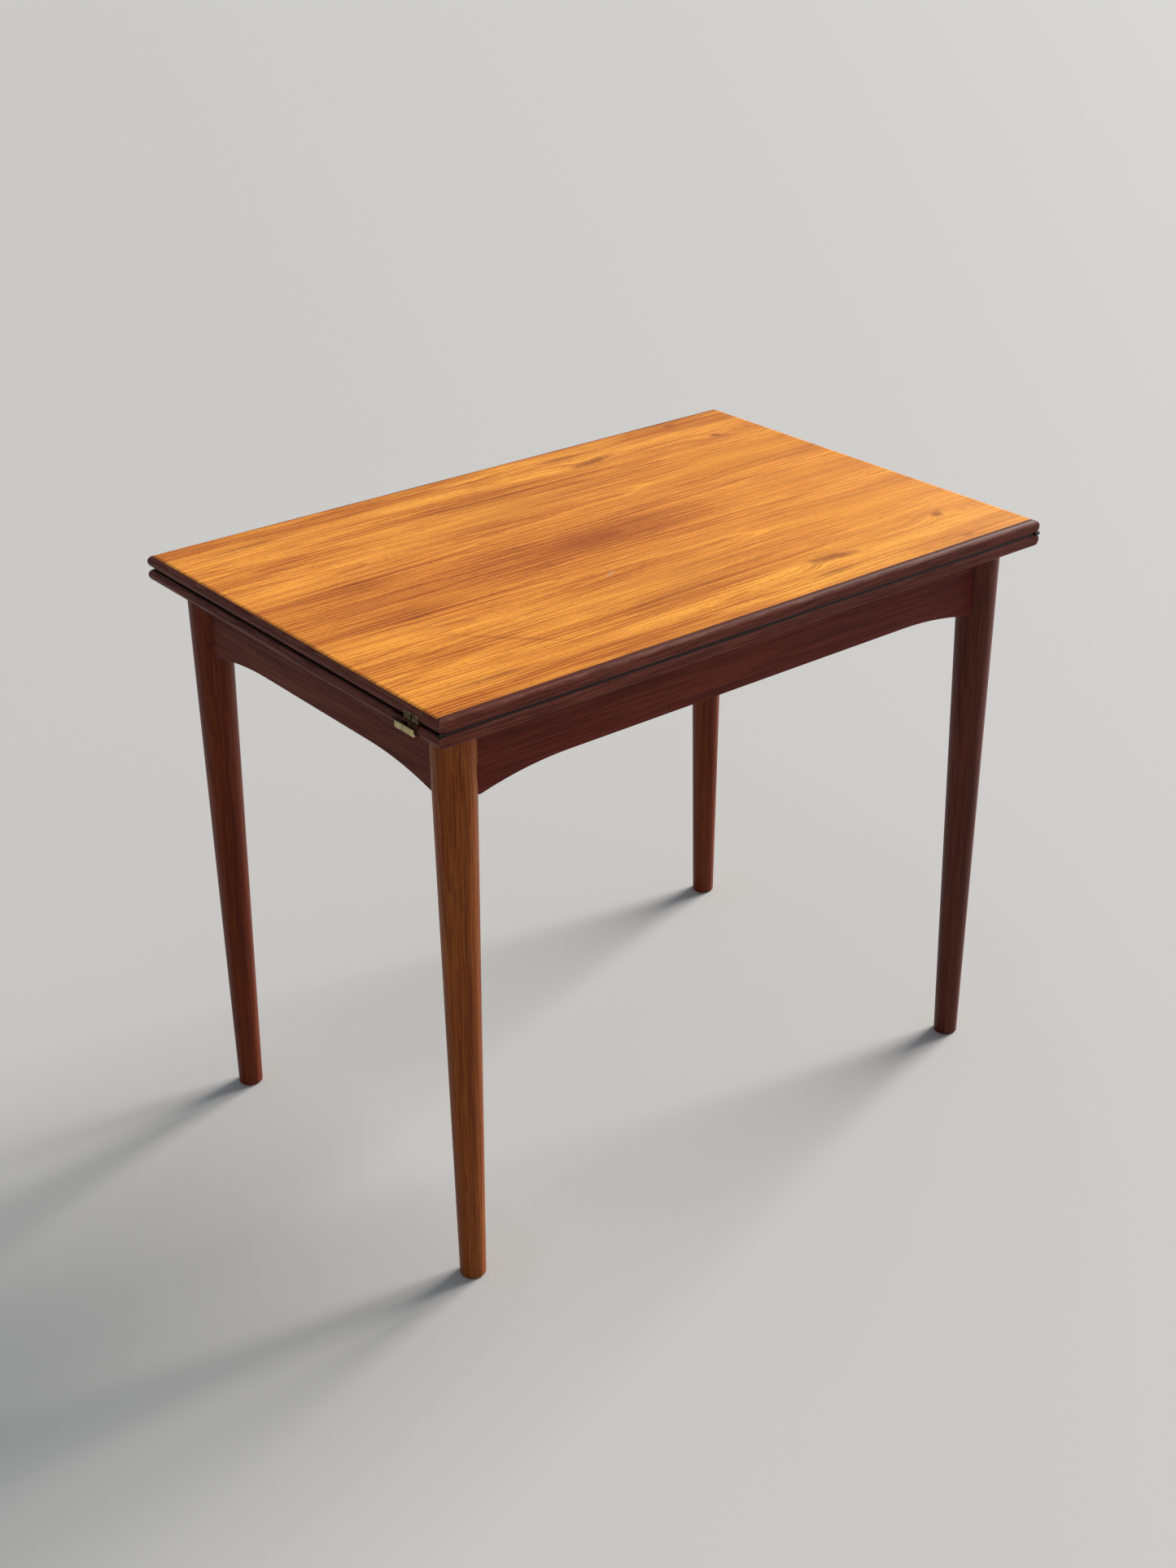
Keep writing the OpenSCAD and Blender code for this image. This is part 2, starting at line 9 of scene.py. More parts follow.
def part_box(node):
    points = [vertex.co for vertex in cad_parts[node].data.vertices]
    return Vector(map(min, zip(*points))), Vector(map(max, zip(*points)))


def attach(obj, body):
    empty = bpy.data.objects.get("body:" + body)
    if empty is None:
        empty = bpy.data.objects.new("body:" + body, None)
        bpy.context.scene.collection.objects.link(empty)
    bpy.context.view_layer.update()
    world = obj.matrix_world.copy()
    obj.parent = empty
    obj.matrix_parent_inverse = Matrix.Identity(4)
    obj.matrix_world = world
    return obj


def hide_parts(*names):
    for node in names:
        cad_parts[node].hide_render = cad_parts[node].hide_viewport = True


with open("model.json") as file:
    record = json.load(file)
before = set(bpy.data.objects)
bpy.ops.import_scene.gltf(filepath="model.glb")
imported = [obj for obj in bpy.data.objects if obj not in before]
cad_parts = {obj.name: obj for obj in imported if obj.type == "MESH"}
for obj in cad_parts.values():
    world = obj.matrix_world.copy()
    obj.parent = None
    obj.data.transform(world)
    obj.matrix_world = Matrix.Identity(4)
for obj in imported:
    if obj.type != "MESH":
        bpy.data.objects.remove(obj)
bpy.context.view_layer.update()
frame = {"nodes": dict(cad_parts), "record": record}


# ---- Legs ----
# Four solid teak legs, turned to a straight taper, each mortised for two apron tenons. They are oiled, and
# their colours run from orange brown to dark red brown, partly as their boards differ and partly as painted
# light and shade: the front right leg is painted darker and more purple for shade, the front left one more
# orange for light. The bevels round their feet have worn soft.

MM = 0.001


def tone(web):
    """A colour given as RRGGBB, as linear red, green, blue and alpha."""
    parts = [int(web[i:i + 2], 16) / 255 for i in (0, 2, 4)]
    linear = [p / 12.92 if p <= 0.04045 else ((p + 0.055) / 1.055) ** 2.4 for p in parts]
    return tuple(linear) + (1.0,)


def darker(colour, share):
    """A colour at a share of its brightness."""
    return tuple(part * share for part in colour[:3]) + (1.0,)


def feed(tree, node, sockets):
    """Sets a node's inputs, by name or number, to values or to the outputs that feed them."""
    for name, value in sockets.items():
        if isinstance(value, bpy.types.NodeSocket):
            tree.links.new(value, node.inputs[name])
        else:
            node.inputs[name].default_value = value


def add(tree, kind, sockets, **settings):
    """Adds a node with its settings and inputs, and gives its outputs."""
    node = tree.nodes.new(kind)
    for name, value in settings.items():
        setattr(node, name, value)
    feed(tree, node, sockets)
    return node.outputs


def calc(tree, operation, *values):
    """Number from a Math node."""
    return add(tree, "ShaderNodeMath", dict(enumerate(values)), operation=operation)[0]


def vector(tree, operation, *values):
    """Vector from a Vector Math node."""
    return add(tree, "ShaderNodeVectorMath", dict(enumerate(values)), operation=operation)[0]


def times(tree, way, factor):
    """A vector times a number."""
    return add(tree, "ShaderNodeVectorMath", {0: way, "Scale": factor}, operation="SCALE")[0]


def length(tree, way):
    """Length of a vector."""
    return add(tree, "ShaderNodeVectorMath", {0: way}, operation="LENGTH")["Value"]


def here(tree):
    """Place on the piece at rest, in metres, and its separate coordinates."""
    position = add(tree, "ShaderNodeTexCoord", {})["Object"]
    return position, add(tree, "ShaderNodeSeparateXYZ", {0: position})


def step(tree, value, low, high):
    """0 at low and 1 at high, with a smooth step between them, whichever is the larger."""
    sockets = {"Value": value, "From Min": low, "From Max": high}
    return add(tree, "ShaderNodeMapRange", sockets, interpolation_type="SMOOTHSTEP")[0]


def between(tree, amount, first, second):
    """Colour that goes from the first to the second as amount goes from 0 to 1."""
    return add(tree, "ShaderNodeMix", {0: amount, 6: first, 7: second}, data_type="RGBA")[2]


def noise(tree, place, scales, detail=2.0):
    """Noise with its own scale along each axis, given in features a metre."""
    scaled = vector(tree, "MULTIPLY", place, scales)
    sockets = {"Vector": scaled, "Scale": 1.0, "Detail": detail, "Roughness": 0.6}
    return add(tree, "ShaderNodeTexNoise", sockets)


def centred(tree, colour):
    """A noise's colour as a vector that goes either way from nought."""
    return vector(tree, "SUBTRACT", colour, (0.5, 0.5, 0.5))


def shader_group(name, inputs, outputs):
    """A new shader node group, with its inputs' outputs inside it and its result's inputs."""
    group = bpy.data.node_groups.new(name, "ShaderNodeTree")
    kinds = {"value": "NodeSocketFloat", "vector": "NodeSocketVector"}
    for label, kind, value in inputs:
        socket = group.interface.new_socket(name=label, in_out="INPUT", socket_type=kinds[kind])
        socket.default_value = value
    for label in outputs:
        group.interface.new_socket(name=label, in_out="OUTPUT", socket_type=kinds["value"])
    given = group.nodes.new("NodeGroupInput").outputs
    result = group.nodes.new("NodeGroupOutput")
    return group, given, result


def use(tree, group, sockets):
    """Places a group in a material with its own values, and gives its outputs."""
    return add(tree, "ShaderNodeGroup", sockets, node_tree=group)


def build_timber_grain():
    """Grain of a log that runs along the vector's third axis, as masks from 0 to 1.

    Rings are the dark late wood, and Pale Lines the early wood that some rings open with. Zones and
    Streaks are wide and narrow bands along the log, and Pores are short dashes.
    """
    group, given, result = shader_group(
        "timber_grain",
        [("Place in Log", "vector", (0, 0, 0)), ("Ring Width", "value", 4 * MM), ("Ring Seed", "value", 0),
         ("Waviness", "value", 6 * MM), ("Tip Fade", "value", 0.0),
         ("Zone Width", "value", 40 * MM), ("Zone Length", "value", 350 * MM),
         ("Streak Width", "value", 4 * MM), ("Streak Length", "value", 250 * MM),
         ("Pore Width", "value", 0.5 * MM), ("Pore Length", "value", 10 * MM)],
        ["Rings", "Pale Lines", "Zones", "Streaks", "Pores"])
    bends_a_metre = (11, 11, 2.6)
    width_changes_a_metre = 70.0
    uneven_rings = 2.0
    weakest_ring = 0.3

    place = given["Place in Log"]
    drift = centred(group, noise(group, place, bends_a_metre, detail=3)["Color"])
    bent = vector(group, "ADD", place, times(group, drift, given["Waviness"]))
    radius = length(group, vector(group, "MULTIPLY", bent, (1, 1, 0)))
    changes = {"W": radius, "Scale": width_changes_a_metre, "Detail": 1.0}
    uneven = add(group, "ShaderNodeTexNoise", changes, noise_dimensions="1D")["Fac"]
    even_count = calc(group, "DIVIDE", radius, given["Ring Width"])
    count = calc(group, "MULTIPLY_ADD", uneven, uneven_rings, even_count)
    phase = calc(group, "FRACT", count)
    ring_name = calc(group, "ADD", calc(group, "FLOOR", count), given["Ring Seed"])
    strength = add(group, "ShaderNodeTexWhiteNoise", {"W": ring_name}, noise_dimensions="1D")["Value"]

    # Each ring darkens slowly, then quickly near its end, and the next one opens pale.
    slow_share = 0.30
    slow = calc(group, "MULTIPLY", step(group, phase, 0.30, 0.95), slow_share)
    darkening = calc(group, "MULTIPLY_ADD", step(group, phase, 0.78, 0.93), 1 - slow_share, slow)
    late_wood = calc(group, "MULTIPLY", darkening, step(group, phase, 1.0, 0.96))
    ring_depth = calc(group, "MULTIPLY_ADD", strength, 1 - weakest_ring, weakest_ring)
    rings = calc(group, "MULTIPLY", late_wood, ring_depth)
    # A veneer's cut runs along the rings at the tips of its arcs, where they can fade.
    aside = calc(group, "ABSOLUTE", add(group, "ShaderNodeSeparateXYZ", {0: bent})["X"])
    at_tip = step(group, calc(group, "DIVIDE", aside, radius), 0.55, 0.10)
    left_at_tip = calc(group, "SUBTRACT", 1.0, calc(group, "MULTIPLY", at_tip, given["Tip Fade"]))
    early_wood = step(group, phase, 0.18, 0.02)
    pale_lines = calc(group, "MULTIPLY", early_wood, step(group, strength, 0.3, 0.9))
    feed(group, result, {"Rings": calc(group, "MULTIPLY", rings, left_at_tip), "Pale Lines": pale_lines})

    # Each mask rises from 0 at the lower noise value to 1 at the higher one.
    bands = (("Zone", 2.0, 0.25, 0.75), ("Streak", 4.0, 0.37, 0.63), ("Pore", 1.0, 0.60, 0.72))
    for kind, detail, low, high in bands:
        across = calc(group, "DIVIDE", 1.0, given[kind + " Width"])
        along = calc(group, "DIVIDE", 1.0, given[kind + " Length"])
        scales = add(group, "ShaderNodeCombineXYZ", {"X": across, "Y": across, "Z": along})[0]
        field = noise(group, bent, scales, detail)
        feed(group, result, {kind + "s": step(group, field["Fac"], low, high)})
    return group


timber_grain = build_timber_grain()


def grain_sizes(ring, waviness, streak, pore, zone=(40, 350), seed=0, tip_fade=0.0):
    """The timber grain's sizes, given in millimetres. Each kind of band has a width and a length."""
    sizes = {"Ring Width": ring * MM, "Waviness": waviness * MM, "Ring Seed": seed, "Tip Fade": tip_fade}
    for kind, (width, along) in (("Zone", zone), ("Streak", streak), ("Pore", pore)):
        sizes[kind + " Width"] = width * MM
        sizes[kind + " Length"] = along * MM
    return sizes


def in_log(grain, offset):
    """Function that gives a material its place in a log whose length runs along the named axis."""
    order = {"X": "YZX", "Y": "XZY", "Z": "XYZ"}[grain]

    def place(tree):
        parts = here(tree)[1]
        sources = {axis: parts[source] for axis, source in zip("XYZ", order)}
        turned = add(tree, "ShaderNodeCombineXYZ", sources)[0]
        return vector(tree, "ADD", turned, offset)
    return place


def new_material(name):
    """A new material, with its node tree and its shader."""
    material = bpy.data.materials.new(name)
    material.use_nodes = True
    return material, material.node_tree, material.node_tree.nodes["Principled BSDF"]


class Timber:
    """An oiled wood in the making: its material, its node tree, and what the grain gives so far."""

    def __init__(self, name, place, tones, sizes, ring_share, zone_share=0.15, pore_depth=0.6,
                 pale_depth=0.0):
        self.material, self.tree, self.shader = new_material(name)
        tree = self.tree
        self.grain = use(tree, timber_grain, {"Place in Log": place(tree), **sizes})
        shares = {"Rings": ring_share, "Zones": zone_share, "Streaks": 1 - ring_share - zone_share}
        self.darkness = 0.0
        for label, share in shares.items():
            self.darkness = calc(tree, "MULTIPLY_ADD", self.grain[label], share, self.darkness)
        dark, middle, light = (tone(web) for web in tones)
        shade = between(tree, step(tree, self.darkness, 0.0, 0.55), light, middle)
        shade = between(tree, step(tree, self.darkness, 0.40, 1.0), shade, dark)
        shade = between(tree, calc(tree, "MULTIPLY", self.grain["Pale Lines"], pale_depth), shade, light)
        pores = calc(tree, "MULTIPLY", self.grain["Pores"], pore_depth)
        self.colour = between(tree, pores, shade, darker(dark, 0.35))

    def stain(self, amount, colour):
        """Takes the colour towards another by an amount that changes over the surface."""
        self.colour = between(self.tree, amount, self.colour, colour)
        return self

    def oiled(self, gloss=0.36, spread=0.14, relief=0.15, shine=0.25):
        """Joins colour, roughness and the relief of pores and streaks to the shader."""
        tree = self.tree
        dull = calc(tree, "ADD", self.darkness, self.grain["Pores"])
        rough = calc(tree, "MULTIPLY_ADD", dull, spread, gloss)
        sunk = calc(tree, "MULTIPLY", self.grain["Pores"], -1.0)
        height = calc(tree, "MULTIPLY_ADD", self.grain["Streaks"], 0.3, sunk)
        bump = add(tree, "ShaderNodeBump", {"Strength": relief, "Distance": 0.4 * MM, "Height": height})[0]
        feed(tree, self.shader, {"Base Color": self.colour, "Roughness": rough, "Normal": bump,
                                 "Specular IOR Level": shine})
        return self.material


cad = frame["nodes"]
bodies = frame["record"]["behaviour"]["bodies"]
body_of = {node: body for body, members in bodies.items() for node in members}
weld = 0.002 * MM


def finish(node, material):
    """A CAD piece whose shape is right takes the material."""
    mesh = cad[node].data
    mesh.materials.clear()
    mesh.materials.append(material)


def stand_in(mesh, name, node, material):
    """A new piece that stands for a CAD piece, smooth shaded with flat faces kept flat."""
    mesh.validate()
    mesh.materials.append(material)
    mesh.polygons.foreach_set("use_smooth", [True] * len(mesh.polygons))
    mesh.set_sharp_from_angle(angle=math.radians(50))
    piece = bpy.data.objects.new(name, mesh)
    bpy.context.scene.collection.objects.link(piece)
    weighted = piece.modifiers.new("flat_faces", "WEIGHTED_NORMAL")
    weighted.keep_sharp = True
    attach(piece, body_of[node])
    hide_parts(node)
    return piece


def eased(node, name, width, material, segments=2, sharp=35):
    """The CAD piece with its sharp arrises rounded by a small width, as its maker's tools leave them."""
    work = bmesh.new()
    work.from_mesh(cad[node].data)
    bmesh.ops.remove_doubles(work, verts=work.verts, dist=weld)
    bmesh.ops.dissolve_limit(work, angle_limit=math.radians(0.3), verts=work.verts, edges=work.edges)
    arrises = [edge for edge in work.edges
               if len(edge.link_faces) == 2 and edge.calc_face_angle(0) > math.radians(sharp)]
    bmesh.ops.bevel(work, geom=arrises, offset=width, segments=segments, profile=0.5, affect="EDGES",
                    clamp_overlap=True)
    mesh = bpy.data.meshes.new(name)
    work.verts.index_update()
    faces = [[vert.index for vert in face.verts] for face in work.faces]
    mesh.from_pydata([vert.co[:] for vert in work.verts], [], faces)
    work.free()
    return stand_in(mesh, name, node, material)


# Tones by corner: partly the boards' own colour, partly painted shade (front right) and painted light (front
# left).
leg_tones_and_shade = {"front_left": ("602808", "7A390C", "92501A"), "front_right": ("3C140B", "4E1F15", "602C22"),
             "back_left": ("461405", "5C1E08", "70300F"), "back_right": ("4C1908", "62260F", "783718")}
leg_grain = grain_sizes(ring=4.5, waviness=12, zone=(20, 350), streak=(1.8, 120), pore=(0.5, 9))
from_pith = (45 * MM, 30 * MM)
foot_ease = 0.9 * MM
for corner, tones in leg_tones_and_shade.items():
    low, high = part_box("leg_" + corner)
    middle = (low + high) / 2
    offset = Vector((from_pith[0] - middle.x, from_pith[1] - middle.y, 0))
    teak = Timber("teak_leg_" + corner, in_log("Z", offset), tones, leg_grain, ring_share=0.30,
                  zone_share=0.25)
    eased("leg_" + corner, f"leg_{corner}_turned", foot_ease, teak.oiled(gloss=0.34, shine=0.14))


# ---- Aprons ----
# Four arched boards of dark red-brown wood, tenoned into the legs. They have the short dark open pores of
# a hardwood cut on the quarter, and their arrises are rounded with sandpaper.

apron_ease = 1.2 * MM
apron_tones = ("44110A", "581C10", "682919")
apron_grain = grain_sizes(ring=7, waviness=12, streak=(4, 120), pore=(0.6, 5))
apron_offset = (0.3, -0.6, 0)
for side, grain in (("front", "X"), ("back", "X"), ("left", "Y"), ("right", "Y")):
    board = Timber("apron_wood_" + side, in_log(grain, apron_offset), apron_tones, apron_grain,
                   ring_share=0.20, zone_share=0.30, pore_depth=0.5)
    board_finish = board.oiled(gloss=0.42, relief=0.25, shine=0.10)
    eased("apron_" + side, f"apron_{side}_board", apron_ease, board_finish)


# ---- Corner blocks and guide rails ----
# Plain beech, planed and left without a finish, because nobody sees it. The blocks sit across the inner
# corners for the leg bolts, and the grooved rails for the runners are housed in the long aprons.

beech_tones = ("A06E3E", "C0915C", "D3AA78")
beech_grain = grain_sizes(ring=2.5, waviness=5, streak=(3, 120), pore=(0.8, 3))
beech_offset = (0.07, 0.11, 0)


def planed_beech(name, grain):
    """Bare beech with its small dark flecks."""
    wood = Timber(name, in_log(grain, beech_offset), beech_tones, beech_grain, ring_share=0.35,
                  pore_depth=0.3)
    return wood.oiled(gloss=0.55, spread=0.1, relief=0.1)


block_beech = planed_beech("beech_blocks", "Z")
rail_beech = planed_beech("beech_rails", "Y")
for corner in leg_tones_and_shade:
    eased("corner_block_" + corner, f"corner_block_{corner}_sawn", 1.5 * MM, block_beech)
for side in ("left", "right"):
    eased("guide_rail_" + side, f"guide_rail_{side}_grooved", 0.8 * MM, rail_beech)


# ---- Leg bolts and washers ----
# A zinc-plated hexagon bolt with a flat washer draws each leg into its corner, through the block there.
# The zinc has gone dull, with clouds and specks.

def build_tarnish():
    """Cloudy dulling of a metal, as masks from 0 to 1: large clouds, and small specks."""
    group, given, result = shader_group(
        "tarnish", [("Cloud Size", "value", 6 * MM), ("Speck Size", "value", 0.8 * MM)], ["Clouds", "Specks"])
    position = here(group)[0]
    for kind, low, high in (("Cloud", 0.35, 0.65), ("Speck", 0.58, 0.70)):
        scale = calc(group, "DIVIDE", 1.0, given[kind + " Size"])
        field = add(group, "ShaderNodeTexNoise", {"Vector": position, "Scale": scale, "Detail": 4.0})
        feed(group, result, {kind + "s": step(group, field["Fac"], low, high)})
    return group


tarnish = build_tarnish()


def aged_metal(name, bright, dull, rough=(0.28, 0.55), cloud=0.8, metallic=1.0, shine=0.5):
    """Metal whose bright face has clouded over, with specks of darker tarnish."""
    material, tree, shader = new_material(name)
    film = use(tree, tarnish, {"Cloud Size": 7 * MM, "Speck Size": 0.7 * MM})
    clouded = calc(tree, "MULTIPLY", film["Clouds"], cloud)
    specked = calc(tree, "MULTIPLY", film["Specks"], 0.6)
    colour = between(tree, clouded, tone(bright), tone(dull))
    colour = between(tree, specked, colour, darker(tone(dull), 0.4))
    worst = calc(tree, "MAXIMUM", clouded, film["Specks"])
    roughness = calc(tree, "MULTIPLY_ADD", worst, rough[1] - rough[0], rough[0])
    bump = add(tree, "ShaderNodeBump", {"Strength": 0.2, "Distance": 0.05 * MM, "Height": film["Specks"]})[0]
    feed(tree, shader, {"Base Color": colour, "Roughness": roughness, "Normal": bump, "Metallic": metallic,
                        "Specular IOR Level": shine})
    return material


steel = aged_metal("dull_zinc", "9EA1A4", "6F7173", rough=(0.35, 0.6))
eased("leg_bolts", "leg_bolts_hexagon", 0.4 * MM, steel)
eased("leg_bolt_washers", "leg_bolt_washers_flat", 0.25 * MM, steel)


# ---- Lower leaf ----
# A blockboard core with solid teak lippings mitred round it and a veneer on each face. The lippings are
# stained dark, and their outer edges are shaped to a full round, apart from the edge at the fold.

veneer_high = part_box("upper_back_veneer")[1]
half_length, half_width = veneer_high.x, veneer_high.y
underside_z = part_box("lower_back_veneer")[0].z
meeting_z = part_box("lower_face_veneer")[1].z
lipping_tones = ("3A130C", "56231A", "6A3528")
lipping_grain = grain_sizes(ring=3, waviness=4, streak=(2, 70), pore=(0.6, 5))
lipping_offset = (0.25, -0.6, 0)
lipping_runs = {"fold": "X", "back": "X", "left": "Y", "right": "Y"}
# Near black, for the dark hairlines at the mitres and for painted shade in the gap between the leaves.
joint_dark_and_gap_shade = tone("1A0C08")
gap_shade_reach = 2.5 * MM


def distance(tree, value, target):
    """How far a number is from another, either way."""
    return calc(tree, "ABSOLUTE", calc(tree, "SUBTRACT", value, target))


def stained_lipping(name, grain):
    """Dark stained teak, with a dark hairline at the mitres."""
    wood = Timber(name, in_log(grain, lipping_offset), lipping_tones, lipping_grain, ring_share=0.25,
                  pore_depth=0.55)
    tree = wood.tree
    parts = here(tree)[1]
    from_end = calc(tree, "SUBTRACT", half_length, calc(tree, "ABSOLUTE", parts["X"]))
    from_side = calc(tree, "SUBTRACT", half_width, calc(tree, "ABSOLUTE", parts["Y"]))
    mitre = step(tree, distance(tree, from_end, from_side), 0.45 * MM, 0.15 * MM)
    return wood.stain(calc(tree, "MULTIPLY", mitre, 0.8), joint_dark_and_gap_shade)


def wear_and_highlight_band(wood, height, half_band, colour, depth):
    """Lightens a level line in broken stretches: partly a finish rubbed thin, and partly a painted highlight
    where the edge catches the light.
    """
    tree = wood.tree
    position, parts = here(tree)
    near = step(tree, distance(tree, parts["Z"], height), half_band, half_band * 0.2)
    broken = step(tree, noise(tree, position, (35, 35, 120), detail=5)["Fac"], 0.38, 0.62)
    return wood.stain(calc(tree, "MULTIPLY", calc(tree, "MULTIPLY", near, broken), depth), colour)


def gap_shade_on_lipping(wood):
    """Darkens a lipping next to the meeting faces: painted shade of the gap between the leaves."""
    tree = wood.tree
    away = distance(tree, here(tree)[1]["Z"], meeting_z)
    in_gap_shade = step(tree, away, gap_shade_reach, gap_shade_reach * 0.5)
    return wood.stain(calc(tree, "MULTIPLY", in_gap_shade, 0.9), joint_dark_and_gap_shade)


for side, grain in lipping_runs.items():
    lipping = stained_lipping("lower_lipping_stain_" + side, grain)
    # Pale broken line low on the lipping: partly worn finish, partly a painted highlight on the edge.
    wear_and_highlight_band(lipping, underside_z + 12 * MM, 2.5 * MM, tone("6E4A40"), 0.35)
    # Painted shade next to the gap between the leaves.
    gap_shade_on_lipping(lipping)
    finish("lower_lipping_" + side, lipping.oiled(gloss=0.40, shine=0.10))


def build_soft_patch():
    """A ragged soft-edged oval: 1 inside its core and 0 outside its half size."""
    group, given, result = shader_group(
        "soft_patch",
        [("Place", "vector", (0, 0, 0)), ("Centre", "vector", (0, 0, 0)), ("Half Size", "vector", (1, 1, 1)),
         ("Turn", "value", 0), ("Core", "value", 0.2), ("Raggedness", "value", 0.4), ("Grain", "value", 60)],
        ["Amount"])
    sockets = {"Vector": vector(group, "SUBTRACT", given["Place"], given["Centre"]), "Angle": given["Turn"]}
    turned = add(group, "ShaderNodeVectorRotate", sockets, rotation_type="Z_AXIS")[0]
    scaled = vector(group, "DIVIDE", turned, given["Half Size"])
    sockets = {"Vector": given["Place"], "Scale": given["Grain"], "Detail": 3.0}
    drift = centred(group, add(group, "ShaderNodeTexNoise", sockets)["Color"])
    ragged = vector(group, "ADD", scaled, times(group, drift, given["Raggedness"]))
    feed(group, result, {"Amount": step(group, length(group, ragged), 1.0, given["Core"])})
    return group


soft_patch = build_soft_patch()
any_height = 9


def oval(tree, place, centre, half, turn=0.0, core=0.2, raggedness=0.4, grain=60):
    """Amount of a soft oval on a leaf, at any height. Grain is how many ragged features there are a metre."""
    shape = {"Centre": centre + (0,), "Half Size": half + (any_height,), "Turn": turn, "Core": core,
             "Raggedness": raggedness, "Grain": grain}
    return use(tree, soft_patch, {"Place": place, **shape})["Amount"]


def folded_place(tree):
    """Place on a leaf with its back half laid over its front half, so that both get the same marks."""
    parts = here(tree)[1]
    aside = calc(tree, "ABSOLUTE", parts["Y"])
    return add(tree, "ShaderNodeCombineXYZ", {"X": parts["X"], "Y": aside})[0], parts["X"], aside


pith_line = 105 * MM
log_slant = 0.0147
log_depth = 74 * MM
knot_swirl = 11 * MM
knots = (((0.362, 0.200), (0.060, 0.030), 0.0), ((0.150, 0.226), (0.075, 0.022), -0.12))


def book_matched(tree):
    """Place in the log of a veneer opened like a book on the middle line, with swirls where knots were."""
    folded, along, aside = folded_place(tree)
    across = calc(tree, "SUBTRACT", aside, pith_line)
    for centre, half, turn in knots:
        swirl = oval(tree, folded, centre, half, turn=turn, core=0.0, raggedness=0.2, grain=25)
        across = calc(tree, "MULTIPLY_ADD", swirl, knot_swirl, across)
    depth = calc(tree, "MULTIPLY_ADD", along, log_slant, log_depth)
    return add(tree, "ShaderNodeCombineXYZ", {"X": across, "Y": depth, "Z": along})[0]


veneer_tones = ("521C04", "A65211", "EC9A36")
underside_tones = ("4A281B", "6B4230", "84573F")
veneer_grain = grain_sizes(ring=5, waviness=14, zone=(45, 380), streak=(2.6, 260), pore=(0.8, 9), seed=3,
                           tip_fade=0.75)
underside_offset = (0.2, -0.65, 0)


def teak_veneer(name):
    """Book-matched teak veneer."""
    return Timber(name, book_matched, veneer_tones, veneer_grain, ring_share=0.46, zone_share=0.28,
                  pore_depth=0.55, pale_depth=0.65)


def meeting_veneer(leaf):
    """The veneer inside the fold, whose outer edge is darkened nearly to black: stained along with the
    lippings, and painted shade of the gap between the leaves, wider at the ends.
    """
    rim, wider_at_ends = 1.2 * MM, 3.5 * MM
    wood = teak_veneer("teak_meeting_face_" + leaf)
    tree = wood.tree
    parts = here(tree)[1]
    past_side = calc(tree, "SUBTRACT", calc(tree, "ABSOLUTE", parts["Y"]), half_width)
    past_end = calc(tree, "SUBTRACT", calc(tree, "ABSOLUTE", parts["X"]), half_length - wider_at_ends)
    # Stain and painted gap shade along the veneer's outer edge.
    wood.stain(step(tree, calc(tree, "MAXIMUM", past_side, past_end), -rim, -rim * 0.6), joint_dark_and_gap_shade)
    finish(leaf + "_face_veneer", wood.oiled(gloss=0.32, spread=0.1, relief=0.08))


meeting_veneer("lower")
underside = Timber("teak_underside", in_log("X", underside_offset), underside_tones, veneer_grain,
                   ring_share=0.4)
finish("lower_back_veneer", underside.oiled(gloss=0.45))
core = planed_beech("blockboard", "X")
finish("lower_core", core)


# ---- Runners ----
# Two beech battens screwed up under the lower leaf. Their tongues slide in the rails' grooves and carry
# the leaf as it goes back.

runner_beech = planed_beech("beech_runners", "Y")
for side in ("left", "right"):
    eased("runner_" + side, f"runner_{side}_tongued", 0.5 * MM, runner_beech)


def islands(mesh):
    """Boxes of a mesh's separate solids, as lowest and highest corners."""
    work = bmesh.new()
    work.from_mesh(mesh)
    bmesh.ops.remove_doubles(work, verts=work.verts, dist=weld)
    left = set(work.verts)
    boxes = []
    while left:
        found, queue = set(), [left.pop()]
        while queue:
            vert = queue.pop()
            found.add(vert)
            for edge in vert.link_edges:
                other = edge.other_vert(vert)
                if other in left:
                    left.discard(other)
                    queue.append(other)
        places = [vert.co for vert in found]
        boxes.append((Vector(min(p[i] for p in places) for i in range(3)),
                      Vector(max(p[i] for p in places) for i in range(3))))
    work.free()
    return sorted(boxes, key=lambda box: box[0][:])


def slotted(node, name, out, slot_width, slot_depth, material):
    """Countersunk screws, each with a slot in its head at its own turn.

    out is the way that the heads face, and it points away from the middle on pieces that have two ends.
    """
    out = Vector(out)
    past_head = 20 * MM
    turn_apart = 2.4
    cutter = bmesh.new()
    for number, (low, high) in enumerate(islands(cad[node].data)):
        middle = (low + high) / 2
        way = out * (1 if out.z or middle.x > 0 else -1)
        reach = max(abs(way.dot(high - middle)), abs(way.dot(low - middle)))
        face_out = way.to_track_quat("Z", "Y").to_matrix().to_4x4()
        turn = Matrix.Rotation(number * turn_apart, 4, "Z")
        shape = Matrix.Diagonal((past_head, slot_width, 2 * slot_depth, 1))
        head = Matrix.Translation(middle + way * reach)
        bmesh.ops.create_cube(cutter, size=1, matrix=head @ face_out @ turn @ shape)
    cut_mesh = bpy.data.meshes.new(name + "_slots")
    cutter.to_mesh(cut_mesh)
    cutter.free()
    cut = bpy.data.objects.new(name + "_slots", cut_mesh)
    bpy.context.scene.collection.objects.link(cut)
    screws = eased(node, name, 0.12 * MM, material, sharp=30)
    boolean = screws.modifiers.new("slots", "BOOLEAN")
    boolean.object = cut
    boolean.operation = "DIFFERENCE"
    boolean.solver = "EXACT"
    screws.modifiers.move(1, 0)
    view = bpy.context.evaluated_depsgraph_get()
    done = bpy.data.meshes.new_from_object(screws.evaluated_get(view))
    screws.modifiers.clear()
    screws.data = done
    bpy.data.objects.remove(cut)


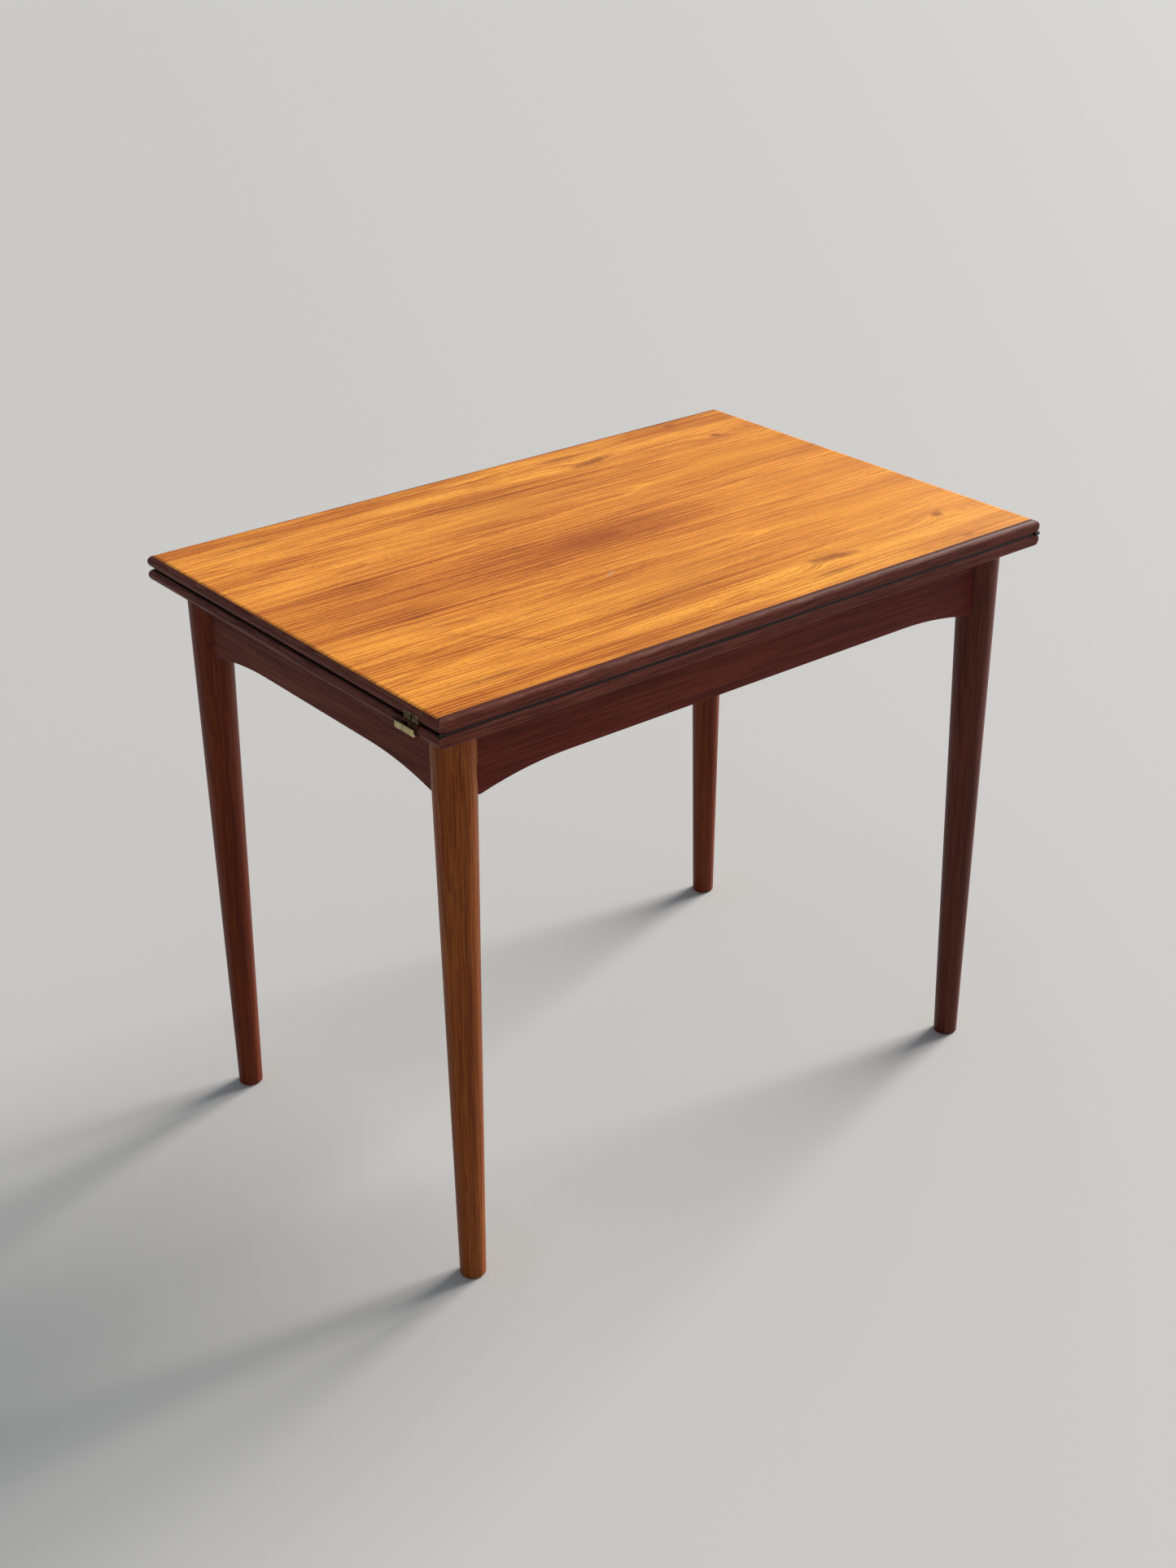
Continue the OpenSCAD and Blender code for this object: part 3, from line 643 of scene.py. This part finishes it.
slotted("runner_screws", "runner_screws_slotted", (0, 0, -1), 1.1 * MM, 1.0 * MM, steel)


# ---- Upper leaf ----
# The same build as the lower leaf, turned over. Its outer face is the table top: two sheets of teak
# veneer opened like a book on the middle line, with the same knot and dark flame on either side of it.

for side, grain in lipping_runs.items():
    lipping = stained_lipping("upper_lipping_stain_" + side, grain)
    # Pale broken line on the top arris: partly worn finish, partly a painted highlight where light catches
    # it.
    wear_and_highlight_band(lipping, veneer_high.z - 2.6 * MM, 2.4 * MM, tone("8A5C4A"), 0.45)
    # Painted shade next to the gap between the leaves.
    gap_shade_on_lipping(lipping)
    finish("upper_lipping_" + side, lipping.oiled(gloss=0.40, shine=0.10))
finish("upper_core", core)
meeting_veneer("upper")

top = teak_veneer("teak_table_top")
tree = top.tree
anywhere, parts = here(tree)
folded = folded_place(tree)[0]


def wash(place, centre, half, tint, **shape):
    """Tints a soft oval of the top and keeps the contrast of its grain."""
    sockets = {0: oval(tree, place, centre, half, **shape), 6: top.colour, 7: tint + (1,)}
    top.colour = add(tree, "ShaderNodeMix", sockets, data_type="RGBA", blend_type="MULTIPLY")[2]


def patch(place, centre, half, colour, depth, **shape):
    """Colours a soft oval of the top."""
    amount = calc(tree, "MULTIPLY", oval(tree, place, centre, half, **shape), depth)
    top.stain(amount, tone(colour))


# The right end is painted paler and more golden, as painted light and sheen from the window on the right; the
# middle is darker, and the outer parts are golden.
lit_right_end = {"place": anywhere, "centre": (0.52, -0.12), "half": (0.72, 0.55), "core": 0.0, "raggedness": 0.2}
# Painted light and painted sheen over the right end.
wash(tint=(1.12, 1.18, 1.15), grain=4, **lit_right_end)
patch(colour="F8A43C", depth=0.36, grain=4, **lit_right_end)
wash(folded, (-0.10, 0.0), (0.62, 0.135), (0.80, 0.69, 0.62), core=0.1, raggedness=0.8, grain=7)
patch(folded, (0.01, 0.145), (0.13, 0.035), "8A3A0C", 0.25, core=0.2, raggedness=0.7, grain=14)
wash(folded, (-0.02, 0.300), (0.62, 0.150), (1.12, 1.24, 1.25), core=0.1, raggedness=0.4, grain=9)
patch(folded, (-0.10, 0.155), (0.22, 0.060), "E8A236", 0.18, core=0.1, raggedness=0.6, grain=12)
patch(folded, (0.31, 0.120), (0.18, 0.070), "F0A030", 0.30, core=0.1, raggedness=0.6, grain=12)

# Dark flames, and a knot near the right end.
flame, knot = "7A4016", "8A3C14"
patch(folded, (0.165, 0.222), (0.058, 0.012), "8A4410", 0.80, turn=-0.12, raggedness=0.9, grain=70)
patch(folded, (0.140, 0.257), (0.045, 0.007), flame, 0.45)
patch(folded, (-0.345, 0.242), (0.075, 0.006), flame, 0.50)
patch(folded, (0.362, 0.200), (0.020, 0.010), knot, 0.80, turn=0.5, core=0.1, raggedness=1.2, grain=90)
patch(folded, (0.340, 0.272), (0.016, 0.006), flame, 0.50)

# A long rub mark and a small pale scuff.
rubbed = {"core": 0.3, "raggedness": 0.1, "grain": 20}
patch(anywhere, (-0.258, -0.178), (0.115, 0.006), "8A4718", 0.32, turn=0.80, **rubbed)
patch(anywhere, (-0.065, -0.098), (0.015, 0.003), "B4A79C", 0.40, turn=-0.5, core=0.1)

# The lippings' stain runs over the arris at the fold, and a thin dark line shows where the sheets meet.
past_fold_arris = step(tree, calc(tree, "ADD", parts["Y"], half_width), 4.8 * MM, 3.6 * MM)
top.stain(past_fold_arris, tone("4E2114"))
joint = step(tree, calc(tree, "ABSOLUTE", parts["Y"]), 0.30 * MM, 0.10 * MM)
top.stain(calc(tree, "MULTIPLY", joint, 0.35), tone("6A3413"))
finish("upper_back_veneer", top.oiled(gloss=0.33, spread=0.10, relief=0.08, shine=0.14))


# ---- Hinges ----
# Cast brass straps let into the meeting faces at both ends of the fold, with their ears on a pin. Straps,
# pins and slotted screws have browned until they are nearly as dark as the stained wood.

dark_brass = aged_metal("dark_brass", "2A211A", "17110D", rough=(0.5, 0.75))
for side in ("left", "right"):
    for part in ("hinge_lower", "hinge_upper"):
        eased(f"{part}_{side}", f"{part}_{side}_strap", 0.3 * MM, dark_brass, sharp=50)
    finish("hinge_pin_" + side, dark_brass)
slotted("hinge_screws_lower", "hinge_screws_lower_slotted", (0, 0, 1), 0.9 * MM, 0.8 * MM, dark_brass)
slotted("hinge_screws_upper", "hinge_screws_upper_slotted", (0, 0, -1), 0.9 * MM, 0.8 * MM, dark_brass)


# ---- Catches ----
# On each short edge a brass thumb bar slides a flat steel bolt up into the keeper plate of the other
# leaf. Thumbs keep the bar bright, the keeper has gone brown, and stain covers the bar's own plate.

bar_brass = aged_metal("handled_brass", "B8A878", "7F7450", rough=(0.22, 0.45), cloud=0.7)
plate_brass = aged_metal("plate_brass", "6A5838", "3E301E", rough=(0.4, 0.65))
stained_brass = aged_metal("stained_brass", "46201A", "30140E", rough=(0.5, 0.75), metallic=0.15, shine=0.1)
for side in ("left", "right"):
    eased("catch_bar_" + side, f"catch_bar_{side}_thumb", 0.5 * MM, bar_brass, segments=3)
    eased("catch_plate_" + side, f"catch_plate_{side}_let_in", 0.25 * MM, stained_brass)
    eased("keeper_plate_" + side, f"keeper_plate_{side}_let_in", 0.25 * MM, plate_brass)
    eased("catch_bolt_" + side, f"catch_bolt_{side}_filed", 0.2 * MM, steel)
slotted("catch_plate_screws", "catch_plate_screws_slotted", (1, 0, 0), 0.6 * MM, 0.6 * MM, stained_brass)
slotted("keeper_screws", "keeper_screws_slotted", (1, 0, 0), 0.6 * MM, 0.6 * MM, plate_brass)


# ---- Studio ----
# A plain pale floor that runs out of sight, an even sky with a pale backdrop that only the camera sees,
# and soft low light from the right: a window, a farther window and an open door.

floor_half = 60
floor_mesh = bpy.data.meshes.new("studio_floor")
corners = [(x * floor_half, y * floor_half, 0) for x, y in ((-1, -1), (1, -1), (1, 1), (-1, 1))]
floor_mesh.from_pydata(corners, [], [(0, 1, 2, 3)])
floor = bpy.data.objects.new("studio_floor", floor_mesh)
bpy.context.scene.collection.objects.link(floor)
paper, paper_tree, paper_shader = new_material("studio_floor")
feed(paper_tree, paper_shader, {"Base Color": tone("B4B2AE"), "Roughness": 0.8})
floor_mesh.materials.append(paper)

sky_colour = (0.315, 0.345, 0.39, 1)
backdrop_colour = tone("C4C2BE")
sky = bpy.data.worlds.new("studio_sky")
sky.use_nodes = True
seen = add(sky.node_tree, "ShaderNodeLightPath", {})["Is Camera Ray"]
backdrop = between(sky.node_tree, seen, sky_colour, backdrop_colour)
feed(sky.node_tree, sky.node_tree.nodes["Background"], {"Color": backdrop, "Strength": 1.0})
bpy.context.scene.world = sky


def broad_light(name, azimuth, height, spread, power, colour):
    """A distant light from an azimuth, turning from +Y to +X, and a height above the floor, in degrees."""
    lamp = bpy.data.lights.new(name, "SUN")
    lamp.angle = math.radians(spread)
    lamp.energy = power
    lamp.color = colour
    light = bpy.data.objects.new(name, lamp)
    bpy.context.scene.collection.objects.link(light)
    turned = math.radians(azimuth)
    way = Vector((math.sin(turned), math.cos(turned), math.tan(math.radians(height))))
    light.rotation_euler = way.to_track_quat("Z", "Y").to_euler()


broad_light("window", 88, 28, 28, 5.6, (1.0, 0.98, 0.95))
broad_light("far_window", 60, 17, 20, 0.2, (1.0, 1.0, 1.0))
broad_light("open_door", 102, 5, 24, 2.2, (0.94, 0.97, 1.0))


# ---- Camera ----
# Held by hand at head height, off the corner where the fold meets the left end, and looking down at it.
# The small roll is the hand's.

camera_place = (-1.5319, -1.8985, 1.6519)
turn, down, roll = (math.radians(angle) for angle in (38.51, 25.24, -0.52))
camera_data = bpy.data.cameras.new("camera")
camera_data.lens = 50.39
camera_data.sensor_width = 36
camera_data.shift_y = -0.0463
camera = bpy.data.objects.new("camera", camera_data)
bpy.context.scene.collection.objects.link(camera)
camera.matrix_world = (Matrix.Translation(camera_place) @ Matrix.Rotation(-turn, 4, "Z")
                       @ Matrix.Rotation(math.pi / 2 - down, 4, "X") @ Matrix.Rotation(roll, 4, "Z"))
bpy.context.scene.camera = camera
bpy.context.scene.view_settings.view_transform = "Standard"
